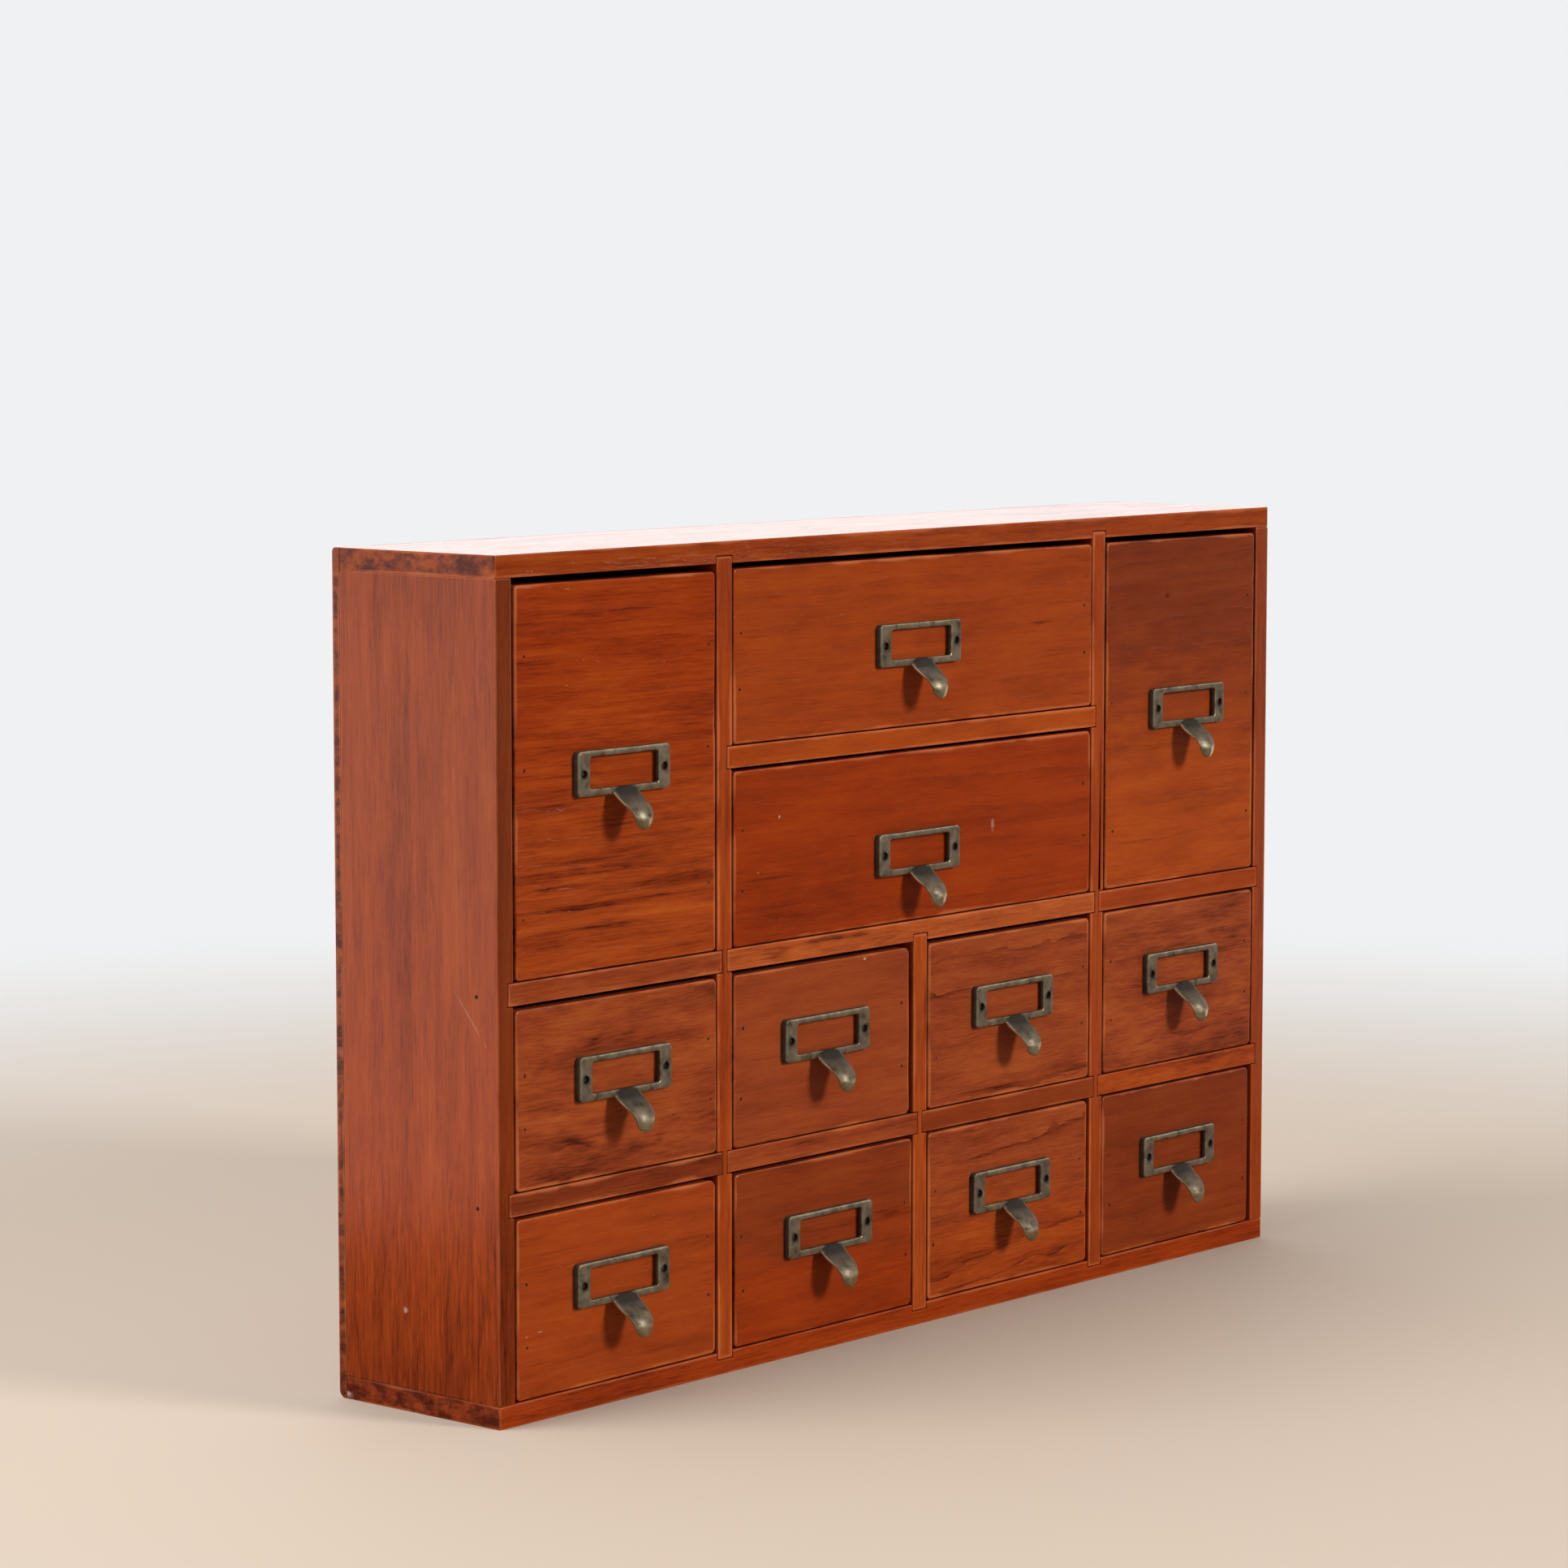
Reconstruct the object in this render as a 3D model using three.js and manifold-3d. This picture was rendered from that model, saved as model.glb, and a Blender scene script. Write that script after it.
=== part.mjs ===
// A small desktop card catalog cabinet in stained wood: a shallow case of boards, with dividers and
// shelves let into grooves, and twelve inset drawers with metal label pulls.
// Millimetres, +Z up. +X is to the right of a person who faces the front, the front faces -Y,
// and the origin is the centre of the underside.

import * as THREE from 'three';
import { mergeVertices } from 'three/addons/utils/BufferGeometryUtils.js';
import Module from 'manifold-3d';

const wasm = await Module();
wasm.setup();

// ---- Driving dimensions: the case ----
const WIDTH = 540;
const HEIGHT = 360;
const DEPTH = 94;
const BOARD = 9.5; // thickness of every case board
const BACK_PANEL = 4; // thickness of the panel over the rear edges
const BACK_TOP_ROUND = 2; // worn outer edges of the back panel
const BACK_BOTTOM_ROUND = 3.5;
const COLUMN_WIDTHS = [126, 123.5, 121.5, 121.5]; // clear openings, left to right, built by hand
const ROW_HEIGHT = 78; // clear height of the three lower rows, and the top row takes the rest
const GROOVE_DEPTH = 3; // how far a shelf or divider goes into the board that holds it
const GROOVE_PLAY = 0.25; // air on each side of a board in its groove

// ---- Driving dimensions: the drawers ----
const FRONT_THICKNESS = 9;
const BOX_SIDE = 7; // drawer side and drawer back
const BOX_BOTTOM = 3;
const BOX_INSET = 1; // the box is narrower than its front by this much at each end
const BOX_TOP_DROP = 5; // the box sides stop this far below the top of the front
const RUN_CLEARANCE = 0.25; // air under the drawer box
const REAR_CLEARANCE = 1.5; // air between the drawer box and the back panel

// ---- Driving dimensions: the label pulls ----
const PLATE_WIDTH = 57;
const PLATE_HEIGHT = 19;
const PLATE_THICKNESS = 3;
const PLATE_CORNER = 1.5;
const WINDOW_WIDTH = 42;
const WINDOW_HEIGHT = 13.5;
const WINDOW_CORNER = 1;
const WINDOW_RISE = 0.25; // the bar under the window is wider than the bar above it
const CARD_SLOT_WIDTH = 46;
const CARD_SLOT_DEPTH = 1;
const CARD_SLOT_LEDGE = 1.25; // the slot goes this far below the window, and is open at the top
const PIN_HOLE_RADIUS = 1.25;
const PIN_SPACING = 49.5;
const TONGUE_REACH = 15.75; // from the drawer front to the outermost point of the tongue
const TONGUE_DROP = 24; // from the middle of the plate down to the tip
const TONGUE_BASE_HALF = 8;
const TONGUE_TIP_HALF = 5.25;
const TONGUE_THICKNESS = 2;

// ---- Where the boards and openings lie ----
const X_LEFT = -WIDTH / 2;
const X_RIGHT = WIDTH / 2;
const Y_FRONT = -DEPTH / 2;
const Y_BACK = DEPTH / 2 - BACK_PANEL; // rear edge of the case boards
const Z_FLOOR = BOARD;
const Z_CEILING = HEIGHT - BOARD;

// Left and right edge of each column's opening.
const columns = [];
for (const width of COLUMN_WIDTHS) {
  const left = columns.length === 0 ? X_LEFT + BOARD : columns.at(-1).right + BOARD;
  columns.push({ left, right: left + width });
}

// Lower and upper edge of each row's opening, from the bottom row to the top row.
const rows = [];
for (let i = 0; i < 4; i += 1) {
  const low = Z_FLOOR + i * (ROW_HEIGHT + BOARD);
  rows.push({ low, high: i < 3 ? low + ROW_HEIGHT : Z_CEILING });
}

// Each drawer spans columns from..to and rows low..high. gaps are the air left, right, above and below
// its front. pull is how far the label pull sits from the middle of the opening, across and up.
const DRAWERS = [
  { name: 'left_tall', from: 0, to: 0, low: 2, high: 3, gaps: [1.5, 1, 3, 0.5], pull: [1.5, 0] },
  { name: 'left_middle', from: 0, to: 0, low: 1, high: 1, gaps: [1, 0.5, 2, 0.5], pull: [2, 4] },
  { name: 'left_bottom', from: 0, to: 0, low: 0, high: 0, gaps: [1, 1.5, 1.5, 0.5], pull: [0.5, 4.5] },
  { name: 'wide_top', from: 1, to: 2, low: 3, high: 3, gaps: [1, 0.5, 2.5, 0.5], pull: [-2.5, -2] },
  { name: 'wide_lower', from: 1, to: 2, low: 2, high: 2, gaps: [1, 1, 1.5, 0.5], pull: [-3, -7.5] },
  { name: 'inner_left_middle', from: 1, to: 1, low: 1, high: 1, gaps: [1, 3, 2, 0.5], pull: [-1, 4.5] },
  { name: 'inner_left_bottom', from: 1, to: 1, low: 0, high: 0, gaps: [1.5, 1, 1.5, 0.5], pull: [1, 5] },
  { name: 'inner_right_middle', from: 2, to: 2, low: 1, high: 1, gaps: [1, 1, 2, 0.5], pull: [0, 4.5] },
  { name: 'inner_right_bottom', from: 2, to: 2, low: 0, high: 0, gaps: [1, 2, 1, 0.5], pull: [-1, 6] },
  { name: 'right_tall', from: 3, to: 3, low: 2, high: 3, gaps: [1.5, 1.5, 2.5, 0.5], pull: [2.5, 0.5] },
  { name: 'right_middle', from: 3, to: 3, low: 1, high: 1, gaps: [1, 1, 1, 0.5], pull: [-0.5, 5.5] },
  { name: 'right_bottom', from: 3, to: 3, low: 0, high: 0, gaps: [0.5, 2.5, 1, 0.5], pull: [-2, 5] },
];

// Each shelf closes the top of a row across columns from..to.
const SHELVES = [
  { name: 'shelf_left_upper', from: 0, to: 0, over: 1 },
  { name: 'shelf_left_lower', from: 0, to: 0, over: 0 },
  { name: 'shelf_wide_upper', from: 1, to: 2, over: 2 },
  { name: 'shelf_wide_lower', from: 1, to: 2, over: 1 },
  { name: 'shelf_inner_left', from: 1, to: 1, over: 0 },
  { name: 'shelf_inner_right', from: 2, to: 2, over: 0 },
  { name: 'shelf_right_upper', from: 3, to: 3, over: 1 },
  { name: 'shelf_right_lower', from: 3, to: 3, over: 0 },
];

// ---- Solids ----

function solidOf(geometry) {
  geometry.deleteAttribute('normal');
  geometry.deleteAttribute('uv');
  const merged = mergeVertices(geometry);
  const vertProperties = new Float32Array(merged.attributes.position.array);
  const triVerts = new Uint32Array(merged.index.array);
  return new wasm.Manifold(new wasm.Mesh({ numProp: 3, vertProperties, triVerts }));
}

// A box between two corners, given as ranges along X, Y and Z.
function block([x0, x1], [y0, y1], [z0, z1]) {
  const geometry = new THREE.BoxGeometry(x1 - x0, y1 - y0, z1 - z0);
  geometry.translate((x0 + x1) / 2, (y0 + y1) / 2, (z0 + z1) / 2);
  return solidOf(geometry);
}

// A shape drawn in Y (across) and Z (up), extruded from x0 to x1.
function extrudeAlongX(shape, x0, x1, curveSegments) {
  const geometry = new THREE.ExtrudeGeometry(shape, { depth: x1 - x0, bevelEnabled: false, curveSegments });
  const across = new THREE.Vector3(0, 1, 0);
  const up = new THREE.Vector3(0, 0, 1);
  const along = new THREE.Vector3(1, 0, 0);
  geometry.applyMatrix4(new THREE.Matrix4().makeBasis(across, up, along));
  geometry.translate(x0, 0, 0);
  return solidOf(geometry);
}

// A shape drawn in X (across) and Z (up), extruded forwards from y0 towards the viewer.
function extrudeForwards(shape, y0, depth, curveSegments) {
  const geometry = new THREE.ExtrudeGeometry(shape, { depth, bevelEnabled: false, curveSegments });
  geometry.rotateX(Math.PI / 2);
  geometry.translate(0, y0, 0);
  return solidOf(geometry);
}

function roundedRectangle(width, height, radius) {
  const x = width / 2;
  const y = height / 2;
  const shape = new THREE.Shape();
  shape.moveTo(radius - x, -y);
  shape.lineTo(x - radius, -y);
  shape.absarc(x - radius, radius - y, radius, -Math.PI / 2, 0);
  shape.lineTo(x, y - radius);
  shape.absarc(x - radius, y - radius, radius, 0, Math.PI / 2);
  shape.lineTo(radius - x, y);
  shape.absarc(radius - x, y - radius, radius, Math.PI / 2, Math.PI);
  shape.lineTo(-x, radius - y);
  shape.absarc(radius - x, radius - y, radius, Math.PI, Math.PI * 1.5);
  return shape;
}

// ---- Materials ----

function stainedWood(color) {
  return new THREE.MeshStandardMaterial({ color, roughness: 0.42, metalness: 0 });
}

function bareWood() {
  return new THREE.MeshStandardMaterial({ color: 0xc39a6b, roughness: 0.7, metalness: 0 });
}

function agedBrass() {
  return new THREE.MeshStandardMaterial({ color: 0x77705a, roughness: 0.38, metalness: 0.9 });
}

const CASE_STAIN = 0x9a4322;
const FRONT_STAIN = 0xa2471f;
const BACK_STAIN = 0x8a4a2c;

function meshOf(name, solid, material) {
  const { vertProperties, triVerts } = solid.getMesh();
  const geometry = new THREE.BufferGeometry();
  geometry.setAttribute('position', new THREE.BufferAttribute(vertProperties, 3));
  geometry.setIndex(new THREE.BufferAttribute(triVerts, 1));
  geometry.computeVertexNormals();
  const mesh = new THREE.Mesh(geometry, material);
  mesh.name = name;
  return mesh;
}

// ---- The case ----

// The groove that a level board cuts into the upright that holds one of its ends.
function shelfGroove(shelf, side) {
  const low = rows[shelf.over].high - GROOVE_PLAY;
  const high = low + BOARD + 2 * GROOVE_PLAY;
  const depth = GROOVE_DEPTH + GROOVE_PLAY;
  const edge = side === 'left' ? columns[shelf.from].left : columns[shelf.to].right;
  const across = side === 'left' ? [edge - depth, edge] : [edge, edge + depth];
  return block(across, [Y_FRONT, Y_BACK], [low, high]);
}

// The groove that an upright board cuts into the level board above or below it.
function uprightGroove(left, low, high) {
  return block([left - GROOVE_PLAY, left + BOARD + GROOVE_PLAY], [Y_FRONT, Y_BACK], [low, high]);
}

function cutAll(solid, grooves) {
  return grooves.reduce((rest, groove) => rest.subtract(groove), solid);
}

function makeSides() {
  const upright = [Z_FLOOR, Z_CEILING];
  const leftGrooves = SHELVES.filter((s) => s.from === 0).map((s) => shelfGroove(s, 'left'));
  const rightGrooves = SHELVES.filter((s) => s.to === 3).map((s) => shelfGroove(s, 'right'));
  const left = block([X_LEFT, X_LEFT + BOARD], [Y_FRONT, Y_BACK], upright);
  const right = block([X_RIGHT - BOARD, X_RIGHT], [Y_FRONT, Y_BACK], upright);
  return [
    meshOf('left_side', cutAll(left, leftGrooves), stainedWood(CASE_STAIN)),
    meshOf('right_side', cutAll(right, rightGrooves), stainedWood(CASE_STAIN)),
  ];
}

// The divider to the right of a column, let into the boards above and below it.
function makeDivider(name, column, high) {
  const left = columns[column].right;
  const depth = [Y_FRONT, Y_BACK];
  const solid = block([left, left + BOARD], depth, [Z_FLOOR - GROOVE_DEPTH, high + GROOVE_DEPTH]);
  const reaches = (shelf) => rows[shelf.over].high < high;
  const fromLeft = SHELVES.filter((s) => s.to === column && reaches(s)).map((s) => shelfGroove(s, 'right'));
  const fromRight = SHELVES.filter((s) => s.from === column + 1 && reaches(s));
  const grooves = fromLeft.concat(fromRight.map((s) => shelfGroove(s, 'left')));
  return meshOf(name, cutAll(solid, grooves), stainedWood(CASE_STAIN));
}

// The top and bottom boards lie over the ends of the sides, and hold the two full dividers.
function makeTopAndBottom() {
  const depth = GROOVE_DEPTH + GROOVE_PLAY;
  const top = block([X_LEFT, X_RIGHT], [Y_FRONT, Y_BACK], [Z_CEILING, HEIGHT]);
  const bottom = block([X_LEFT, X_RIGHT], [Y_FRONT, Y_BACK], [0, Z_FLOOR]);
  const topGrooves = [0, 2].map((c) => uprightGroove(columns[c].right, Z_CEILING, Z_CEILING + depth));
  const bottomGrooves = [0, 1, 2].map((c) => uprightGroove(columns[c].right, Z_FLOOR - depth, Z_FLOOR));
  return [
    meshOf('top_board', cutAll(top, topGrooves), stainedWood(CASE_STAIN)),
    meshOf('bottom_board', cutAll(bottom, bottomGrooves), stainedWood(CASE_STAIN)),
  ];
}

// A shelf goes into a groove at each end. The lower wide shelf also holds the head of the middle divider.
function makeShelf(shelf) {
  const low = rows[shelf.over].high;
  const across = [columns[shelf.from].left - GROOVE_DEPTH, columns[shelf.to].right + GROOVE_DEPTH];
  let solid = block(across, [Y_FRONT, Y_BACK], [low, low + BOARD]);
  if (shelf.name === 'shelf_wide_lower') {
    solid = solid.subtract(uprightGroove(columns[1].right, low, low + GROOVE_DEPTH + GROOVE_PLAY));
  }
  return meshOf(shelf.name, solid, stainedWood(CASE_STAIN));
}

// The back panel covers the rear edges of all the boards. Its outer edges are worn round.
function makeBackPanel() {
  const rear = DEPTH / 2;
  const low = BACK_BOTTOM_ROUND;
  const high = HEIGHT - BACK_TOP_ROUND;
  const profile = new THREE.Shape();
  profile.moveTo(Y_BACK, 0);
  profile.lineTo(rear - low, 0);
  profile.absarc(rear - low, low, low, -Math.PI / 2, 0);
  profile.lineTo(rear, high);
  profile.absarc(rear - BACK_TOP_ROUND, high, BACK_TOP_ROUND, 0, Math.PI / 2);
  profile.lineTo(Y_BACK, HEIGHT);
  return meshOf('back_panel', extrudeAlongX(profile, X_LEFT, X_RIGHT, 4), stainedWood(BACK_STAIN));
}

// ---- The drawers ----

// The room that a drawer's front and box take, and the place of its pull.
function drawerPlace(drawer) {
  const [gapLeft, gapRight, gapAbove, gapBelow] = drawer.gaps;
  const opening = {
    left: columns[drawer.from].left,
    right: columns[drawer.to].right,
    low: rows[drawer.low].low,
    high: rows[drawer.high].high,
  };
  return {
    left: opening.left + gapLeft,
    right: opening.right - gapRight,
    low: opening.low + gapBelow,
    high: opening.high - gapAbove,
    floor: opening.low + RUN_CLEARANCE,
    pullX: (opening.left + opening.right) / 2 + drawer.pull[0],
    pullZ: (opening.low + opening.high) / 2 + drawer.pull[1],
  };
}

function makeDrawerFront(drawer, place) {
  const thickness = [Y_FRONT, Y_FRONT + FRONT_THICKNESS];
  const solid = block([place.left, place.right], thickness, [place.low, place.high]);
  return meshOf(`drawer_front_${drawer.name}`, solid, stainedWood(FRONT_STAIN));
}

// Two sides, a back and a bottom, open towards the front board and above.
function makeDrawerBox(drawer, place) {
  const left = place.left + BOX_INSET;
  const right = place.right - BOX_INSET;
  const front = Y_FRONT + FRONT_THICKNESS;
  const rear = Y_BACK - REAR_CLEARANCE;
  const high = place.high - BOX_TOP_DROP;
  const outside = block([left, right], [front, rear], [place.floor, high]);
  const across = [left + BOX_SIDE, right - BOX_SIDE];
  const inside = block(across, [front, rear - BOX_SIDE], [place.floor + BOX_BOTTOM, high]);
  return meshOf(`drawer_box_${drawer.name}`, outside.subtract(inside), bareWood());
}

// ---- The label pull, built at the origin: plate centre at X 0, Z 0, back of the plate at Y 0 ----

function makePlate() {
  const outline = roundedRectangle(PLATE_WIDTH, PLATE_HEIGHT, PLATE_CORNER);
  const plate = extrudeForwards(outline, 0, PLATE_THICKNESS, 2);
  const windowShape = roundedRectangle(WINDOW_WIDTH, WINDOW_HEIGHT, WINDOW_CORNER);
  const window = extrudeForwards(windowShape, 1, PLATE_THICKNESS + 2, 1).translate([0, 0, WINDOW_RISE]);
  const slotLow = WINDOW_RISE - WINDOW_HEIGHT / 2 - CARD_SLOT_LEDGE;
  const slotAcross = [-CARD_SLOT_WIDTH / 2, CARD_SLOT_WIDTH / 2];
  const cardSlot = block(slotAcross, [-CARD_SLOT_DEPTH, 1], [slotLow, PLATE_HEIGHT]);
  return plate.subtract(window).subtract(cardSlot);
}

function makePinHole(x) {
  const geometry = new THREE.CylinderGeometry(PIN_HOLE_RADIUS, PIN_HOLE_RADIUS, PLATE_THICKNESS * 3, 8);
  geometry.translate(x, 0, 0);
  return solidOf(geometry);
}

// The tongue seen from the side: it leaves the bar under the window and curls down past its tip,
// where the outline below rounds it off.
function tongueProfile() {
  const end = -TONGUE_DROP - 1;
  const root = -PLATE_THICKNESS / 2;
  const crest = WINDOW_RISE - WINDOW_HEIGHT / 2;
  const front = 0.15 - TONGUE_REACH;
  const shape = new THREE.Shape();
  shape.moveTo(root, crest);
  shape.bezierCurveTo(-8, crest - 4, -TONGUE_REACH - 1.25, -12.5, front, end);
  shape.lineTo(front + TONGUE_THICKNESS, end);
  shape.bezierCurveTo(front + 1, -14.5, -7.5, -12.8, root, crest - 2.75);
  return shape;
}

// The tongue seen from the front: wide where it joins the plate, narrowing to a round tip.
function tongueOutline() {
  const tipCentre = TONGUE_TIP_HALF - TONGUE_DROP;
  const shape = new THREE.Shape();
  shape.moveTo(-TONGUE_BASE_HALF, 0);
  shape.lineTo(-TONGUE_BASE_HALF, -9);
  shape.quadraticCurveTo(-TONGUE_TIP_HALF - 1.7, -14, -TONGUE_TIP_HALF, tipCentre);
  shape.absarc(0, tipCentre, TONGUE_TIP_HALF, Math.PI, 2 * Math.PI);
  shape.quadraticCurveTo(TONGUE_TIP_HALF + 1.7, -14, TONGUE_BASE_HALF, -9);
  shape.lineTo(TONGUE_BASE_HALF, 0);
  return shape;
}

function makePullSolid() {
  const side = extrudeAlongX(tongueProfile(), -TONGUE_BASE_HALF - 1, TONGUE_BASE_HALF + 1, 6);
  const outline = extrudeForwards(tongueOutline(), 0, TONGUE_REACH + 2, 4);
  const tongue = side.intersect(outline);
  const holes = [-PIN_SPACING / 2, PIN_SPACING / 2].map(makePinHole);
  return cutAll(makePlate(), holes).add(tongue);
}

const pullSolid = makePullSolid();

function makePull(drawer, place) {
  const mesh = meshOf(`label_pull_${drawer.name}`, pullSolid, agedBrass());
  mesh.position.set(place.pullX, Y_FRONT, place.pullZ);
  return mesh;
}

// ---- The cabinet ----

const cabinet = new THREE.Group();
cabinet.add(...makeTopAndBottom(), ...makeSides(), makeBackPanel());
cabinet.add(makeDivider('divider_left', 0, Z_CEILING));
cabinet.add(makeDivider('divider_middle', 1, rows[1].high));
cabinet.add(makeDivider('divider_right', 2, Z_CEILING));
for (const shelf of SHELVES) {
  cabinet.add(makeShelf(shelf));
}
for (const drawer of DRAWERS) {
  const place = drawerPlace(drawer);
  const group = new THREE.Group();
  group.add(makeDrawerFront(drawer, place), makeDrawerBox(drawer, place), makePull(drawer, place));
  cabinet.add(group);
}

export default cabinet;
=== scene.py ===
"""A small desktop card catalog cabinet in red-brown stained wood, with twelve drawers and label pulls.

The case boards are the frame's own nodes, with rounded edges and wood materials. The drawer fronts, the
drawer boxes and the label pulls are built here in finer detail, where the frame says they are.
"""

import math
import random

import bmesh
import bpy
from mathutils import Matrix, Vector, noise


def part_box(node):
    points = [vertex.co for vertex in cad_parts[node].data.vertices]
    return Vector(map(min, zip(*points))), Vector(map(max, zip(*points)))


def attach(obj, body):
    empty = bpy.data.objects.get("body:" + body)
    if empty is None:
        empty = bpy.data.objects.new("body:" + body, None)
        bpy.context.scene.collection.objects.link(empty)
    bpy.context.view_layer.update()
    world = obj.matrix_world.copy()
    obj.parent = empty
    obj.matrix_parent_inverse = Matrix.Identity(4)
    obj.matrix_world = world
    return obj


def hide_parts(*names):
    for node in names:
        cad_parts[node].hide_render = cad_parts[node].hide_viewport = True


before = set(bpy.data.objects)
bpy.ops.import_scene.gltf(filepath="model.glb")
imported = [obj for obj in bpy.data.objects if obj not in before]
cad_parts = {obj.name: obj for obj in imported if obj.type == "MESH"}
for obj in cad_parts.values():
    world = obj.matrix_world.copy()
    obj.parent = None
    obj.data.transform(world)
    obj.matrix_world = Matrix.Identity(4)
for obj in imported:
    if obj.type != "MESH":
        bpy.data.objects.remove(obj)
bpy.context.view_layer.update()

MM = 0.001  # the script works in millimetres, and Blender in metres

# ---- The camera: where it stands from the middle of the cabinet's underside, and where it looks ----
CAMERA_PLACE = Vector((-1703.0, -1432.6, 474.7)) * MM
CAMERA_YAW = 49.32  # degrees to the right of straight at the front
CAMERA_PITCH = 5.95  # degrees below the horizon
CAMERA_LENS = 113.3  # on a sensor 36 mm wide

# ---- Light and surroundings ----
KEY_DIRECTION = Vector((0.30, -1.0, 0.42))  # from the cabinet towards the light
KEY_DISTANCE = 5.5
KEY_SIZE = 1.3
KEY_POWER = 250.0
WINDOW_DIRECTION = Vector((-1.0, 0.35, 0.9))
WINDOW_DISTANCE = 2.6
WINDOW_SIZE = 1.8
WINDOW_POWER = 52.0
BACKGROUND = (0.87, 0.88, 0.89)
FLOOR_COLOUR = (0.52, 0.43, 0.35)
FLOOR_FADE = (450.0, 1400.0)  # the floor fades out into the pale surroundings between these radii
TABLE_RADIUS = 640.0  # how far from the cabinet its sides still mirror a table

# ---- Stains, as sRGB colours ----
RUSSET = (139, 49, 12)
AMBER = (152, 63, 19)
SIENNA = (145, 58, 19)
CHESTNUT = (138, 60, 28)
MAHOGANY = (124, 50, 20)
UMBER = (117, 47, 20)
HONEY = (159, 73, 31)
PALE_WOOD = (196, 158, 112)
PLYWOOD = (186, 144, 98)
WORN_EDGE = (194, 104, 54)

# ---- How much the edges of the case boards and the back panel are rounded ----
BOARD_ROUNDING = 0.7
BACK_ROUNDING = 0.6

# ---- Drawer construction ----
FRONT_ROUNDING = 1.1  # how far the front edges of a drawer front are rubbed round
BOX_SIDE = 7.0
BOX_BOTTOM = 3.0

# ---- Label pull ----
PLATE_HALF = (28.5, 9.5)
PLATE_THICKNESS = 3.0
PLATE_CORNER = 1.8
WINDOW_HALF = (21.0, 6.75)
WINDOW_CORNER = 1.2
WINDOW_RISE = 0.25
PIN_SPACING = 49.5
PIN_HOLE_RADIUS = 1.45


# ---- Shaders ----


def linear(colour):
    """An sRGB colour of three numbers up to 255, as linear RGBA."""
    parts = [c / 255 for c in colour]
    return [p / 12.92 if p <= 0.04045 else ((p + 0.055) / 1.055) ** 2.4 for p in parts] + [1.0]


class Term:
    """A value in a shader. Arithmetic on it adds Math nodes."""

    def __init__(self, surface, socket):
        self.surface = surface
        self.socket = socket

    def __add__(self, other):
        return self.surface.math("ADD", self, other)

    def __sub__(self, other):
        return self.surface.math("SUBTRACT", self, other)

    def __rsub__(self, other):
        return self.surface.math("SUBTRACT", other, self)

    def __mul__(self, other):
        return self.surface.math("MULTIPLY", self, other)

    def __truediv__(self, other):
        return self.surface.math("DIVIDE", self, other)

    __radd__ = __add__
    __rmul__ = __mul__


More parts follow.
